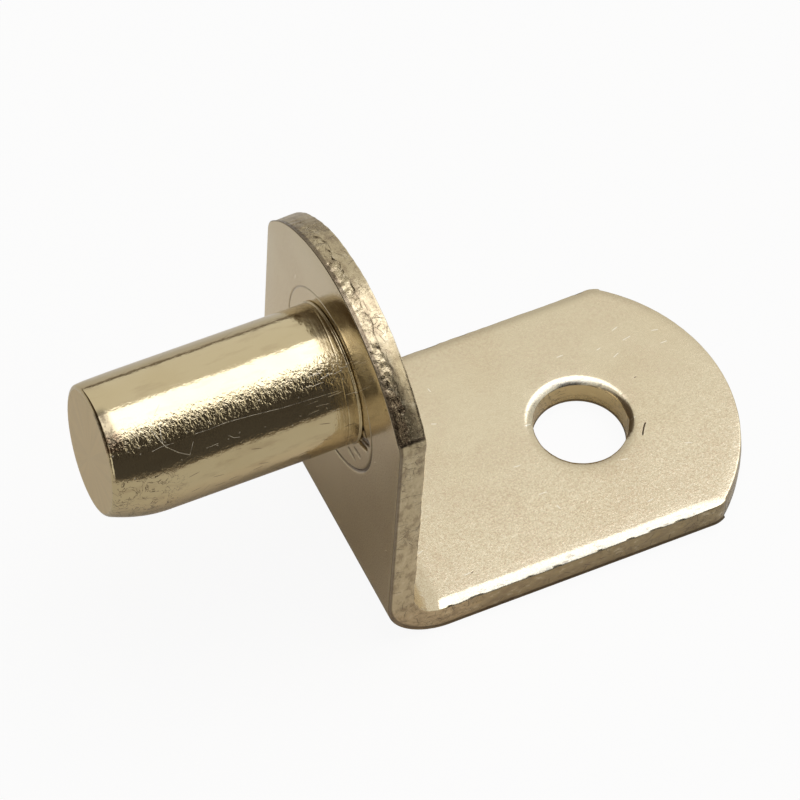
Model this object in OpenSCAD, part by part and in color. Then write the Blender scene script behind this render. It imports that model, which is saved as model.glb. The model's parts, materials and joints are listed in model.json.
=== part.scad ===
// Shelf support pin with a screw flange.
//
// A strip of sheet steel is blanked, pierced and folded into an L: the upright
// lies against the cabinet side and the flange carries the shelf. A turned
// steel pin stands on the upright's outer face, and its tenon is riveted over
// on the inner face. Both pieces are plated.
//
// Units are millimetres. The origin is where the pin's axis meets the upright's
// outer face: +X runs along the flange, the pin points to -X and +Z is up.

/* [Strip] */
// Thickness of the sheet
strip_t = 1.4; // [1:0.05:2]
// Width of the strip
strip_w = 13.2; // [12:0.1:15]
// Radius on the inside of the fold
bend_r = 1.75; // [1:0.05:2.5]
// Radius where the sides turn into the round ends
corner_r = 1.2; // [0.8:0.1:2]

/* [Flange] */
// Length from the upright's outer face to the tip
flange_len = 20; // [18:0.1:26]
// Radius of the flange's round end
flange_end_r = 8.2; // [8:0.1:12]

/* [Upright] */
// Height from the flange's underside to the top
upright_h = 18.4; // [18:0.1:24]
// Radius of the upright's round end
upright_end_r = 7.8; // [7.8:0.1:12]

/* [Screw hole] */
// Diameter of the hole, clear of a number 8 wood screw
hole_d = 4.4; // [3.2:0.1:5]
// Distance of its centre from the upright's outer face
hole_x = 12.8; // [11:0.1:14]

/* [Rolled edges] */
// Width of the roll that blanking leaves on the strip's inner side
roll_w = 0.45; // [0.3:0.05:0.55]
// Depth of that roll
roll_d = 0.2; // [0.05:0.01:0.3]

/* [Pin] */
// Diameter of the shank, a quarter of an inch
pin_d = 6.35; // [5:0.05:7]
// Length from the upright's outer face to the free end
pin_len = 11.2; // [8:0.1:14]
// Height of the pin's axis above the flange's underside
pin_h = 12.2; // [11:0.1:12.4]
// Length of the rounded lead-in at the free end
lead_len = 2.6; // [1:0.1:3]
// How far the lead-in falls below the shank
lead_drop = 0.32; // [0.1:0.01:0.4]
// Radius on the rim of the end face
tip_r = 0.2; // [0.1:0.05:0.4]

/* [Turned line] */
// Distance from the upright to the line that turning leaves round the pin's root
line_a = 0.36; // [0.2:0.02:0.8]
// Radius of that line's groove
line_r = 0.04; // [0.02:0.01:0.08]

/* [Rivet] */
// Diameter of the tenon through the upright
tenon_d = 4.5; // [3.5:0.1:4.8]
// Gap all round the tenon in its hole
tenon_gap = 0.02; // [0.01:0.01:0.05]
// Diameter of the riveted head on the inner face
head_d = 6.4; // [5.6:0.1:7]
// Height of the riveted head
head_h = 0.55; // [0.4:0.05:0.9]
// Height of the head's straight rim
head_rim = 0.15; // [0.1:0.05:0.3]

/* [Riveting mark] */
// Diameter of the ring that the riveting anvil leaves round the pin
mark_d = 8.36; // [8:0.02:9]
// How far the ring's centre lies below the pin's axis
mark_drop = 0.54; // [0:0.02:0.6]
// Radius of that ring's groove
mark_r = 0.09; // [0.05:0.01:0.12]

/* [Hidden] */
$fn = 96;

// Radius on the outside of the fold, where both flat legs begin
fold_r = bend_r + strip_t;
// How far a cutter reaches past the face that it cuts
reach = 0.05;
// How far a corner's arc stands proud of its neighbours, so that it crosses
// them cleanly instead of only touching them
ease = 0.003;
plating = [0.80, 0.73, 0.56];

// ---- The round end of a leg -------------------------------------------------

// Half the angle of the end's arc, seen from the arc's centre
function end_angle(end_r) =
    asin((strip_w / 2 - corner_r) / (end_r - corner_r));

// Place of a corner's centre along the leg
function corner_x(tip, end_r) =
    tip - end_r + (end_r - corner_r) * cos(end_angle(end_r));

function corner_y() = strip_w / 2 - corner_r;

// ---- Sections ---------------------------------------------------------------

// What an edge loses: a round that leaves the face (y = 0) flush at x = -w and
// meets the side (x = 0) at a depth of d
module edge_round(w, d) {
    round_r = (w * w + d * d) / (2 * d);
    translate([-w, -round_r]) difference() {
        square([w + reach, round_r + reach]);
        circle(round_r);
    }
}

// What a corner loses between the directions from and 90 degrees, seen from the
// centre of its round
module corner_cut(r, from) {
    difference() {
        polygon(2 * r * [[0, 0], [cos(from), sin(from)], [1, 1], [0, 1]]);
        circle(r + ease);
    }
}

// Outline of a leg from the fold to its tip
module leg_outline(tip, end_r) {
    end_x = tip - end_r;
    difference() {
        union() {
            translate([fold_r, -strip_w / 2]) square([end_x - fold_r, strip_w]);
            intersection() {
                translate([end_x, -strip_w / 2]) square([end_r, strip_w]);
                translate([end_x, 0]) circle(end_r);
            }
        }
        for (side = [0, 1]) mirror([0, side])
            translate([corner_x(tip, end_r), corner_y()])
                corner_cut(corner_r, end_angle(end_r));
    }
}

// ---- The strip --------------------------------------------------------------

// The roll along a leg's sides and round its end; the two cross at the corners
module leg_roll(tip, end_r) {
    past_corner = end_angle(end_r) + 15;
    for (side = [0, 1]) mirror([0, side, 0])
        translate([fold_r, strip_w / 2, 0]) rotate([90, 0, 90])
            linear_extrude(tip) edge_round(roll_w, roll_d);
    translate([tip - end_r, 0, 0]) rotate([0, 0, -past_corner])
        rotate_extrude(angle = 2 * past_corner)
            translate([end_r, 0]) edge_round(roll_w, roll_d);
}

// A leg lies along +X on Z = 0, its rolled inner side on top
module leg(tip, end_r) {
    difference() {
        linear_extrude(strip_t) leg_outline(tip, end_r);
        translate([0, 0, strip_t]) leg_roll(tip, end_r);
    }
}

// The quarter turn between the legs, its rolled inner side towards the shelf
module fold() {
    translate([fold_r, 0, fold_r]) rotate([90, 0, 0]) rotate([0, 0, 180])
        rotate_extrude(angle = 90) difference() {
            translate([bend_r, -strip_w / 2]) square([strip_t, strip_w]);
            for (side = [0, 1]) mirror([0, side])
                translate([bend_r, strip_w / 2]) rotate(90)
                    edge_round(roll_w, roll_d);
        }
}

// Turns a leg that lies along +X so that it stands along +Z, inner side to +X
module stand_up() rotate([180, -90, 0]) children();

// Turns a shape round the Z axis so that +Z points along the pin
module along_pin() rotate([0, -90, 0]) children();

// ---- Sub-parts --------------------------------------------------------------

module screw_hole() {
    translate([hole_x, 0, 0]) {
        translate([0, 0, -reach]) cylinder(d = hole_d, h = strip_t + 2 * reach);
        translate([0, 0, strip_t]) rotate_extrude()
            mirror([1, 0]) translate([-hole_d / 2, 0]) edge_round(roll_w, roll_d);
    }
}

// Hole for the tenon, and the ring that the anvil leaves round the pin
module rivet_seat() {
    along_pin() {
        translate([0, 0, -strip_t - reach])
            cylinder(d = tenon_d + 2 * tenon_gap, h = strip_t + 2 * reach);
        translate([-mark_drop, 0, 0])
            rotate_extrude() translate([mark_d / 2, 0]) circle(mark_r);
    }
}

module bracket() {
    color(plating) difference() {
        translate([0, 0, -pin_h]) difference() {
            union() {
                leg(flange_len, flange_end_r);
                fold();
                stand_up() leg(upright_h, upright_end_r);
            }
            screw_hole();
        }
        rivet_seat();
    }
}

// Half of the free end's section: a long lead-in arc that leaves the shank
// flush, and a round on the rim that runs from it into the end face
module free_end() {
    shank_r = pin_d / 2;
    lead_r = (lead_len * lead_len + lead_drop * lead_drop) / (2 * lead_drop);
    rim_angle = asin((lead_len - tip_r) / (lead_r - tip_r));
    rim_x = shank_r - lead_r + (lead_r - tip_r) * cos(rim_angle);
    difference() {
        intersection() {
            translate([0, pin_len - lead_len]) square([shank_r, lead_len]);
            translate([shank_r - lead_r, pin_len - lead_len]) circle(lead_r);
        }
        translate([rim_x, pin_len - tip_r]) corner_cut(tip_r, rim_angle);
    }
}

// Half of the pin's section: x is the radius, y the distance out from the upright
module pin_section() {
    shank_r = pin_d / 2;
    difference() {
        square([shank_r, pin_len - lead_len]);
        translate([shank_r, line_a]) circle(line_r);
    }
    free_end();
    // the tenon
    translate([0, -strip_t - head_rim]) square([tenon_d / 2, strip_t + head_rim + line_a / 2]);
}

// The riveted head: a low dome on a short straight rim
module rivet_head() {
    dome_h = head_h - head_rim;
    dome_r = (head_d * head_d / 4 + dome_h * dome_h) / (2 * dome_h);
    translate([0, 0, -strip_t - head_rim]) cylinder(d = head_d, h = head_rim);
    intersection() {
        translate([0, 0, dome_r - strip_t - head_h]) sphere(dome_r);
        translate([0, 0, -strip_t - head_h]) cylinder(d = head_d, h = dome_h);
    }
}

module pin() {
    color(plating) along_pin() {
        rotate_extrude() pin_section();
        rivet_head();
    }
}

bracket();
pin();
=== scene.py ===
"""Shelf support pin, dressed: a folded strip of plated steel with a turned pin riveted to it.

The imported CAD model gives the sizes. Each class holds one sub-assembly, with its own sizes in
millimetres, and builds plain meshes in metres in the CAD model's frame.
"""

import json
import logging
import math
from dataclasses import dataclass, field
from enum import Enum
from typing import Optional, Union

import bmesh
import bpy
import numpy as np
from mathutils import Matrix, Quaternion, Vector, geometry


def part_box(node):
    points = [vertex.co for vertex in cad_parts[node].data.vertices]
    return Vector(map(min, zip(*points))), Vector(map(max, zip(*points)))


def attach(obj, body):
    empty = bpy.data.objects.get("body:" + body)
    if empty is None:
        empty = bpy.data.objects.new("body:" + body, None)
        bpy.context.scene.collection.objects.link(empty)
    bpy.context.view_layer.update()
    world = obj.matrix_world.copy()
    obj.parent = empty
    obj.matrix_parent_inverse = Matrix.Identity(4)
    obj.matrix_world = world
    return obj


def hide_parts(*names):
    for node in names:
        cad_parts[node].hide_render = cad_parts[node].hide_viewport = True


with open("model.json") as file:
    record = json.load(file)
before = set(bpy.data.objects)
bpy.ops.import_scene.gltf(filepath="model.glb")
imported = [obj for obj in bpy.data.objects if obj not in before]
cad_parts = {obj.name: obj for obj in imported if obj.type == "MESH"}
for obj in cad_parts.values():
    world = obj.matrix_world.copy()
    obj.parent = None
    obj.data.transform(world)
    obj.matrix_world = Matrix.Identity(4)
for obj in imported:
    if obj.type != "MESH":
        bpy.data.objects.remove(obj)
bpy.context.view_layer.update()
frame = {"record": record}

MM = 0.001
LOG = logging.getLogger("shelf_support_pin")

Value = Union["Wire", float, int, tuple, str, bpy.types.Object, bpy.types.Material]
Colour = tuple[float, float, float]
Path = tuple[tuple[float, float], ...]
Outline = tuple[np.ndarray, np.ndarray, np.ndarray, np.ndarray]


# ---- Node trees ---------------------------------------------------------------------------


class Wire:
    """One output socket of a node tree. Arithmetic on it adds Math nodes."""

    def __init__(self, graph: "Graph", socket: bpy.types.NodeSocket) -> None:
        """Keeps the tree's graph and the socket.

        Args:
            graph: The graph that new nodes go into.
            socket: The output that this wire stands for.
        """
        self.graph = graph
        self.socket = socket

    def _math(self, operation: str, first: Value, second: Value = 0.0) -> "Wire":
        """Adds one Math node.

        Args:
            operation: The node's operation.
            first: Its first value or wire.
            second: Its second value or wire.

        Returns:
            The node's output.
        """
        return self.graph.node("ShaderNodeMath", {"operation": operation}, {0: first, 1: second})

    def __add__(self, other: Value) -> "Wire":
        """Sum of two values."""
        return self._math("ADD", self, other)

    __radd__ = __add__

    def __sub__(self, other: Value) -> "Wire":
        """This value less the other."""
        return self._math("SUBTRACT", self, other)

    def __rsub__(self, other: Value) -> "Wire":
        """The other value less this one."""
        return self._math("SUBTRACT", other, self)

    def __mul__(self, other: Value) -> "Wire":
        """Product of two values."""
        return self._math("MULTIPLY", self, other)

    __rmul__ = __mul__

    def __truediv__(self, other: Value) -> "Wire":
        """This value over the other."""
        return self._math("DIVIDE", self, other)

    def __pow__(self, other: Value) -> "Wire":
        """This value to the power of the other."""
        return self._math("POWER", self, other)

    def least(self, other: Value) -> "Wire":
        """The lesser of two values."""
        return self._math("MINIMUM", self, other)

    def most(self, other: Value) -> "Wire":
        """The greater of two values."""
        return self._math("MAXIMUM", self, other)

    def above(self, other: Value) -> "Wire":
        """One where this value is greater than the other, and nought elsewhere."""
        return self._math("GREATER_THAN", self, other)

    def size(self) -> "Wire":
        """The value without its sign."""
        return self._math("ABSOLUTE", self)

    def sine(self) -> "Wire":
        """Sine of the value, in radians."""
        return self._math("SINE", self)

    def cosine(self) -> "Wire":
        """Cosine of the value, in radians."""
        return self._math("COSINE", self)

    def root(self) -> "Wire":
        """Square root of the value."""
        return self._math("SQRT", self)

    def angle(self, across: Value) -> "Wire":
        """Angle whose tangent is this value over the other, in radians."""
        return self._math("ARCTAN2", self, across)

    def fade(self, start: float, end: float) -> "Wire":
        """Smooth rise from nought at one value to one at another.

        Args:
            start: The value at which the result is nought.
            end: The value at which the result is one; it may be the smaller of the two.

        Returns:
            The smoothed result.
        """
        low, high = min(start, end), max(start, end)
        limits = {"From Min": low, "From Max": high,
                  "To Min": float(start > end), "To Max": float(start < end)}
        return self.graph.node("ShaderNodeMapRange", {"interpolation_type": "SMOOTHSTEP"},
                               {"Value": self, **limits})

    def tinted(self, share: Value, colour: Colour) -> "Wire":
        """This colour with a share of another over it."""
        return self.graph.blend(share, self, rgba(colour))


class Graph:
    """A node tree under construction, for a material, the world or Geometry Nodes."""

    def __init__(self, tree: bpy.types.NodeTree) -> None:
        """Empties the tree and keeps it.

        Args:
            tree: The node tree to fill.
        """
        self.tree = tree
        tree.nodes.clear()

    def node(self, kind: str, settings: Optional[dict] = None, values: Optional[dict] = None,
             out: Union[int, str] = 0) -> Wire:
        """Adds a node of any type.

        Args:
            kind: The node's type.
            settings: Its properties, set first.
            values: Values or wires of its input sockets, by name or number.
            out: The output to return, by name or number.

        Returns:
            The chosen output.
        """
        made = self.tree.nodes.new(kind)
        for name, setting in (settings or {}).items():
            setattr(made, name, setting)
        for name, value in (values or {}).items():
            if isinstance(value, Wire):
                self.tree.links.new(value.socket, made.inputs[name])
            else:
                made.inputs[name].default_value = value
        return Wire(self, made.outputs[out] if len(made.outputs) else None)

    def also(self, wire: Wire, out: Union[int, str]) -> Wire:
        """Another output of the node that a wire comes from.

        Args:
            wire: A wire from the node.
            out: The other output, by name or number.

        Returns:
            That output.
        """
        return Wire(self, wire.socket.node.outputs[out])

    def parts(self, vector: Value) -> tuple[Wire, Wire, Wire]:
        """The three components of a vector."""
        x = self.node("ShaderNodeSeparateXYZ", None, {0: vector})
        return x, self.also(x, 1), self.also(x, 2)

    def vector(self, x: Value, y: Value, z: Value) -> Wire:
        """A vector of three components."""
        return self.node("ShaderNodeCombineXYZ", None, {0: x, 1: y, 2: z})

    def attribute(self, name: str, out: str = "Fac") -> Wire:
        """What the mesh carries under a name."""
        return self.node("ShaderNodeAttribute", {"attribute_name": name}, None, out)

    def scaled(self, vector: Value, by: tuple[float, float, float]) -> Wire:
        """A vector whose components are each multiplied by a number."""
        return self.node("ShaderNodeVectorMath", {"operation": "MULTIPLY"}, {0: vector, 1: by})

    def blend(self, share: Value, first: Value, second: Value) -> Wire:
        """Mix of two colours.

        Args:
            share: How much of the second colour shows.
            first: The first colour, with its alpha if it isn't a wire.
            second: The second colour.

        Returns:
            The mixed colour.
        """
        return self.node("ShaderNodeMix", {"data_type": "RGBA"}, {0: share, 6: first, 7: second}, 2)

    def noise(self, place: Value, scale: Union[float, tuple[float, float, float]], detail: float = 2.0,
              rough: float = 0.5, twist: float = 0.0) -> Wire:
        """Soft noise between about 0.3 and 0.7.

        Args:
            place: Where it is read.
            scale: Features for each unit of length, alike every way or along x, y and z.
            detail: Number of finer octaves.
            rough: How strong the finer octaves are.
            twist: How much the noise is distorted.

        Returns:
            The noise's value.
        """
        if isinstance(scale, tuple):
            place, scale = self.scaled(place, scale), 1.0
        return self.node("ShaderNodeTexNoise", None, {
            "Vector": place, "Scale": scale, "Detail": detail, "Roughness": rough, "Distortion": twist})


def rgba(colour: Colour) -> tuple[float, float, float, float]:
    """A colour with its alpha."""
    return (*colour, 1.0)


def empty_material(name: str) -> tuple[bpy.types.Material, Graph]:
    """Makes a material.

    Args:
        name: Its name.

    Returns:
        The material and its empty graph.
    """
    material = bpy.data.materials.new(name)
    material.use_nodes = True
    return material, Graph(material.node_tree)


# ---- Finishes -----------------------------------------------------------------------------


@dataclass(frozen=True)
class Plating:
    """What the bracket's and the pin's plating have in common."""

    name: str
    colour: Colour
    tarnish: Colour
    pit: Colour = (0.10, 0.07, 0.045)

    def start(self) -> tuple[bpy.types.Material, Graph, Wire]:
        """Makes the material.

        Returns:
            The material, its empty graph and Object coordinates in millimetres.
        """
        material, graph = empty_material(self.name)
        place = graph.node("ShaderNodeTexCoord", None, None, "Object")
        return material, graph, graph.scaled(place, (1 / MM, 1 / MM, 1 / MM))

    def strokes(self, graph: Graph, place: Wire, size: tuple[float, float], cell: float, share: float,
                spread: float, lean: float) -> Wire:
        """Short separate strokes, each in a cell of its own and turned by chance.

        Args:
            graph: The material's graph.
            place: A flat place in millimetres; only x and y count.
            size: Half the length and half the width of a stroke, in millimetres.
            cell: Width of a cell in millimetres.
            share: Share of the cells that hold a stroke.
            spread: How far a stroke may turn, in radians.
            lean: Direction of the strokes before they turn, in radians.

        Returns:
            One on a stroke, and nought off it.
        """
        x, y, _ = graph.parts(place)
        flat = graph.vector(x, y, 0.0)
        settings = {"voronoi_dimensions": "2D", "feature": "F1"}
        shade = graph.node("ShaderNodeTexVoronoi", settings, {"Vector": flat, "Scale": 1 / cell}, "Color")
        centre = graph.also(shade, "Position")
        away = graph.node("ShaderNodeVectorMath", {"operation": "SUBTRACT"},
                          {0: flat, 1: graph.scaled(centre, (1.0, 1.0, 0.0))})
        chance, turn, _ = graph.parts(shade)
        angle = (turn - 0.5) * (2 * spread) + lean
        across, up, _ = graph.parts(away)
        along = across * angle.cosine() + up * angle.sine()
        aside = up * angle.cosine() - across * angle.sine()
        inside = (along / size[0]) ** 2.0 + (aside / size[1]) ** 2.0
        return inside.fade(1.0, 0.5) * (1.0 - chance.above(share))

    def scratches(self, graph: Graph, place: Wire, paths: tuple[Path, ...], width: float) -> Wire:
        """Scratches that each run through a few places.

        Args:
            graph: The material's graph.
            place: A flat place in millimetres; only x and y count.
            paths: The corners of each scratch, in millimetres.
            width: Their width in millimetres.

        Returns:
            One in a scratch, and nought off them.
        """
        x, y, _ = graph.parts(place)
        nearest = None
        for path in paths:
            for (x0, y0), (x1, y1) in zip(path, path[1:]):
                length = math.hypot(x1 - x0, y1 - y0)
                way_x, way_y = (x1 - x0) / length, (y1 - y0) / length
                along = (x - x0) * way_x + (y - y0) * way_y
                aside = (y - y0) * way_x - (x - x0) * way_y
                past = (along * -1.0).most(along - length).most(0.0)
                away = (aside ** 2.0 + past ** 2.0).root()
                nearest = away if nearest is None else nearest.least(away)
        return nearest.fade(width / 2, width / 6)

    def threads(self, noise: Wire, width: float) -> Wire:
        """Thin wandering lines, where a noise passes its middle value.

        Args:
            noise: The noise.
            width: How far from the middle value a line reaches.

        Returns:
            One on a line, and nought off it.
        """
        return (noise - 0.5).size().fade(width, width / 3)

    def finish(self, graph: Graph, colour: Wire, roughness: Wire, height: Wire) -> None:
        """Adds the shader and the material's output.

        Args:
            graph: The material's graph.
            colour: Colour of the metal.
            roughness: Its roughness.
            height: Height of the surface in millimetres.
        """
        normal = graph.node("ShaderNodeBump", None, {"Strength": 1.0, "Distance": MM, "Height": height})
        shader = graph.node("ShaderNodeBsdfPrincipled", None,
                            {"Base Color": colour, "Roughness": roughness, "Metallic": 1.0, "Normal": normal})
        graph.node("ShaderNodeOutputMaterial", None, {"Surface": shader})


@dataclass(frozen=True)
class SheetPlace:
    """What a material knows of a place on the strip, from the mesh's attributes."""

    place: Wire
    tall: Wire
    flat: Wire
    from_hole: Wire
    on_wall: Wire
    wall: Wire
    face: Wire
    torn: Wire
    pressed: Wire
    rolled: Wire

    @classmethod
    def read(cls, graph: Graph, place: Wire, hole_x: float) -> "SheetPlace":
        """Reads the attributes.

        Args:
            graph: The material's graph.
            place: Object coordinates in millimetres.
            hole_x: Place of the screw hole along the strip.

        Returns:
            The place on the part and its height over the pin's axis, the place on the flat blank and
            how far it lies from the screw hole, the place along and up a sheared wall, and how much
            it is part of a wall and of a face, torn, pressed and rolled; pressed also carries painted
            dark lines on the walls' outer rounds and painted shade on the rolls that face away.
        """
        wall, *marks = (graph.attribute(name) for name in ("wall", "torn", "pressed", "rolled"))
        flat = graph.attribute("flat", "Vector")
        u, v, w = graph.parts(flat)
        from_hole = ((u - hole_x) ** 2.0 + v ** 2.0).root()
        on_wall = graph.vector(graph.attribute("run"), w, 0.0)
        return cls(place, graph.parts(place)[2], flat, from_hole, on_wall, wall, 1.0 - wall, *marks)


@dataclass(frozen=True)
class BracketPlating(Plating):
    """Satin plating on pressed sheet, with rougher sheared walls. Places are in millimetres."""

    satin: float = 0.17
    polished: float = 0.15
    sheared: float = 0.30
    hole_x: float = 12.8
    hole_edge_r: float = 3.2
    brown_haze: Colour = (0.52, 0.37, 0.24)
    dark_speck: Colour = (0.46, 0.30, 0.18)
    light_speck: Colour = (0.88, 0.80, 0.62)
    # Lighter tint of the flecks: painted glints.
    painted_glint_fleck: Colour = (0.93, 0.86, 0.68)
    # Tint of the near-facing roll: a painted highlight tone.
    roll_painted_highlight_tint: Colour = (0.41, 0.385, 0.30)
    edge: Colour = (0.55, 0.46, 0.29)
    # Warmer tone of the low walls near the floor: painted contact shade.
    low_wall_painted_tone: Colour = (0.56, 0.44, 0.265)
    # Darker tone of the shelf's side walls: painted contact shade.
    shelf_side_painted_shade: Colour = (0.32, 0.25, 0.135)
    hole_edge: Colour = (0.58, 0.455, 0.235)
    # Darker tone of the round end's top wall: painted shade.
    top_wall_painted_shade: Colour = (0.43, 0.345, 0.20)
    # Colour of the round end's dark foot: a painted dark reflection.
    foot_painted_dark: Colour = (0.13, 0.085, 0.05)
    stain: Colour = (0.27, 0.20, 0.12)
    shine: Colour = (0.70, 0.61, 0.43)
    dashes: tuple[Path, ...] = (
        ((16.59, 3.33), (16.98, 3.40)),
        ((18.10, 2.49), (18.38, 2.50)),
        ((15.78, 2.64), (16.05, 2.76)),
        ((15.25, 3.30), (15.42, 3.34)),
        ((9.36, -2.81), (9.66, -2.82)),
        ((9.79, -3.65), (9.84, -3.88)),
        ((7.27, 4.39), (7.30, 4.22)),
        ((6.58, 2.57), (6.76, 2.50)),
    )
    dash_w: float = 0.075
    gouge: Path = ((15.42, -1.21), (15.24, -1.42), (15.03, -1.73))
    gouge_w: float = 0.095

    def face_colour(self, graph: Graph, sheet: SheetPlace, grain: Wire, speckle: Wire, front: Wire) -> Wire:
        """Colour of the flat faces: a slight tarnish, a brown haze in patches and fine specks.

        Args:
            graph: The material's graph.
            sheet: Where the place lies on the strip.
            grain: Noise of the satin grain.
            speckle: Noise of the specks.
            front: How much the specks show.

        Returns:
            The colour.
        """
        cloud = graph.noise(sheet.place, 0.22, 3.0)
        patch = graph.noise(sheet.place, 0.35, 2.0).fade(0.42, 0.60)
        colour = graph.blend(cloud.fade(0.42, 0.72) * 0.5, rgba(self.colour), rgba(self.tarnish))
        colour = colour.tinted(grain.fade(0.40, 0.62) * patch * 0.22 * sheet.face, self.brown_haze)
        colour = colour.tinted(speckle.fade(0.50, 0.64) * (front * 0.30 + 0.09) * sheet.face, self.dark_speck)
        return colour.tinted(speckle.fade(0.46, 0.34) * (front * 0.26 + 0.08) * sheet.face, self.light_speck)

    def wall_colour(self, graph: Graph, sheet: SheetPlace, speckle: Wire, dark_foot: Wire) -> Wire:
        """Colour of the sheared walls: it differs between the bend, the shelf side, the hole and the top.
        The warmer low walls near the floor, the darker shelf side and top carry painted shade, and the round
        end's dark foot a painted dark reflection.

        Args:
            graph: The material's graph.
            sheet: Where the place lies on the strip.
            speckle: Noise of the specks.
            dark_foot: How much of the round end's dark foot shows; it is a painted dark reflection.

        Returns:
            The colour.
        """
        off_hole = sheet.from_hole.above(self.hole_edge_r)
        shelf_side = graph.parts(sheet.flat)[0].fade(3.5, 5.5) * off_hole
        blotch = graph.noise(sheet.on_wall, (1.4, 2.4, 1.0), 5.0, 0.7)
        # Painted contact shade: the low walls near the floor take a warmer tone and the shelf's side walls a
        # darker one.
        edges = graph.blend(sheet.tall.fade(-9.0, -10.6), rgba(self.edge), rgba(self.low_wall_painted_tone))
        edges = edges.tinted(shelf_side * 0.8, self.shelf_side_painted_shade)
        edges = graph.blend(off_hole, rgba(self.hole_edge), edges)
        # Painted shade: the top of the round end's wall is darker.
        edges = edges.tinted(sheet.tall.fade(2.6, 3.6) * 0.6, self.top_wall_painted_shade)
        # Painted dark reflection on the round end's lower torn band, broken by lighter specks.
        edges = edges.tinted(dark_foot * speckle.fade(0.66, 0.50) * 0.85, self.foot_painted_dark)
        edges = edges.tinted(blotch.fade(0.47, 0.62) * off_hole * 0.65, self.stain)
        return edges.tinted(blotch.fade(0.45, 0.34) * off_hole * 0.5, self.shine)

    def make(self) -> bpy.types.Material:
        """Builds the material.

        Returns:
            The bracket's material.
        """
        material, graph, place = self.start()
        sheet = SheetPlace.read(graph, place, self.hole_x)
        _, across, depth = graph.parts(sheet.flat)
        face = sheet.face
        rolled_side = depth.above(0.5)
        front = across.fade(2.5, -4.5)
        # Painted dark reflection: the lower part of the round end's torn band, above the pin's axis.
        dark_foot = sheet.torn * sheet.tall.fade(5.1, 4.2) * sheet.tall.above(0.0)

        grain = graph.noise(place, 7.0, 3.0, 0.65)
        speckle = graph.noise(place, 13.0, 2.0, 0.6)
        swell = graph.noise(place, 0.8, 2.0)
        milled = graph.noise(sheet.flat, (0.5, 7.0, 7.0), 3.0, 0.6)
        folds = graph.noise(sheet.on_wall, (3.8, 5.0, 1.0), 4.0, 0.66, 0.5)
        drag = graph.noise(sheet.on_wall, (6.0, 1.0, 1.0), 3.0, 0.6)

        flecks = self.strokes(graph, sheet.flat, (0.20, 0.035), 1.5, 0.16, 0.5, 0.1)
        flecks = flecks.most(self.scratches(graph, sheet.flat, self.dashes, self.dash_w) * rolled_side)
        nicks = self.strokes(graph, sheet.flat, (0.10, 0.04), 2.3, 0.12, 1.5, 0.0)
        gouge = self.scratches(graph, sheet.flat, (self.gouge,), self.gouge_w) * face * rolled_side
        hair = self.strokes(graph, sheet.on_wall, (0.32, 0.018), 0.6, 0.55, 1.5, 0.8)
        hair = hair * sheet.wall * (1.0 - sheet.torn)
        fine = graph.noise(sheet.on_wall, (3.0, 2.2, 1.0), 4.0, 0.6, 0.5)
        cracks = self.threads(fine, 0.014) * sheet.wall * graph.noise(place, 0.5, 1.0).fade(0.45, 0.60)
        pits = folds.fade(0.42, 0.36) * sheet.torn
        chipped = graph.noise(sheet.flat, (1.6, 5.0, 5.0), 4.0, 0.7).fade(0.55, 0.64) * sheet.rolled
        marks = (nicks * face * 0.6).most(pits * 0.7).most(hair * 0.75).most(cracks * 0.8)
        # pressed holds the riveting marks and also painted dark lines on the walls' outer rounds and painted
        # shade on rolls that face away.
        marks = marks.most(sheet.pressed * 0.9).most(gouge).most(chipped * 0.45)

        faces = self.face_colour(graph, sheet, grain, speckle, front)
        colour = graph.blend(sheet.wall, faces, self.wall_colour(graph, sheet, speckle, dark_foot))
        # Painted highlight tone: the near-facing roll is tinted darker and whiter, with a grain, to shape the
        # softbox's highlight on it.
        colour = colour.tinted(sheet.rolled * (0.45 + speckle.fade(0.36, 0.60) * 0.55), self.roll_painted_highlight_tint)
        # The flecks are also tinted lighter: painted glints on top of their lower roughness and bump.
        colour = colour.tinted(flecks * 0.8 * face, self.painted_glint_fleck).tinted(marks, self.pit)

        roughness = self.satin + (grain - 0.5) * 0.08 + sheet.wall * (self.sheared - self.satin)
        roughness = roughness - sheet.torn * (self.sheared - self.polished)
        roughness = roughness - flecks * 0.06 + sheet.rolled * 0.10

        on_face = (grain - 0.5) * 0.0022 + (milled - 0.5) * 0.0012 - nicks * 0.004 - gouge * 0.02
        on_face = on_face + (speckle - 0.5) * (0.0014 + front * 0.0014)
        on_wall = sheet.wall * ((drag - 0.5) * 0.004) - hair * 0.003 - cracks * 0.004
        on_wall = on_wall + sheet.torn * (folds - 0.5) * 0.048 + dark_foot * (grain - 0.5) * 0.022
        self.finish(graph, colour, roughness, face * on_face + (swell - 0.5) * 0.006 + on_wall)
        return material


@dataclass(frozen=True)
class PinPlace:
    """What a material knows of a place on the pin, from its shape and the mesh's attribute."""

    place: Wire
    along: Wire
    turn: Wire
    skin: Wire
    ends: Wire
    shank: Wire

    @classmethod
    def read(cls, graph: Graph, place: Wire, radius: float) -> "PinPlace":
        """Works out the place round the pin.

        Args:
            graph: The material's graph.
            place: Object coordinates in millimetres.
            radius: The shank's radius.

        Returns:
            The place on the part and along the pin's axis, the angle round it, the place on the skin
            laid flat, and how much it is part of an end or of the shank.
        """
        x, y, z = graph.parts(place)
        turn = z.angle(y * -1.0)
        ends = graph.attribute("end_face")
        return cls(place, x, turn, graph.vector(x, turn * radius, 0.0), ends, 1.0 - ends)


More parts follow.
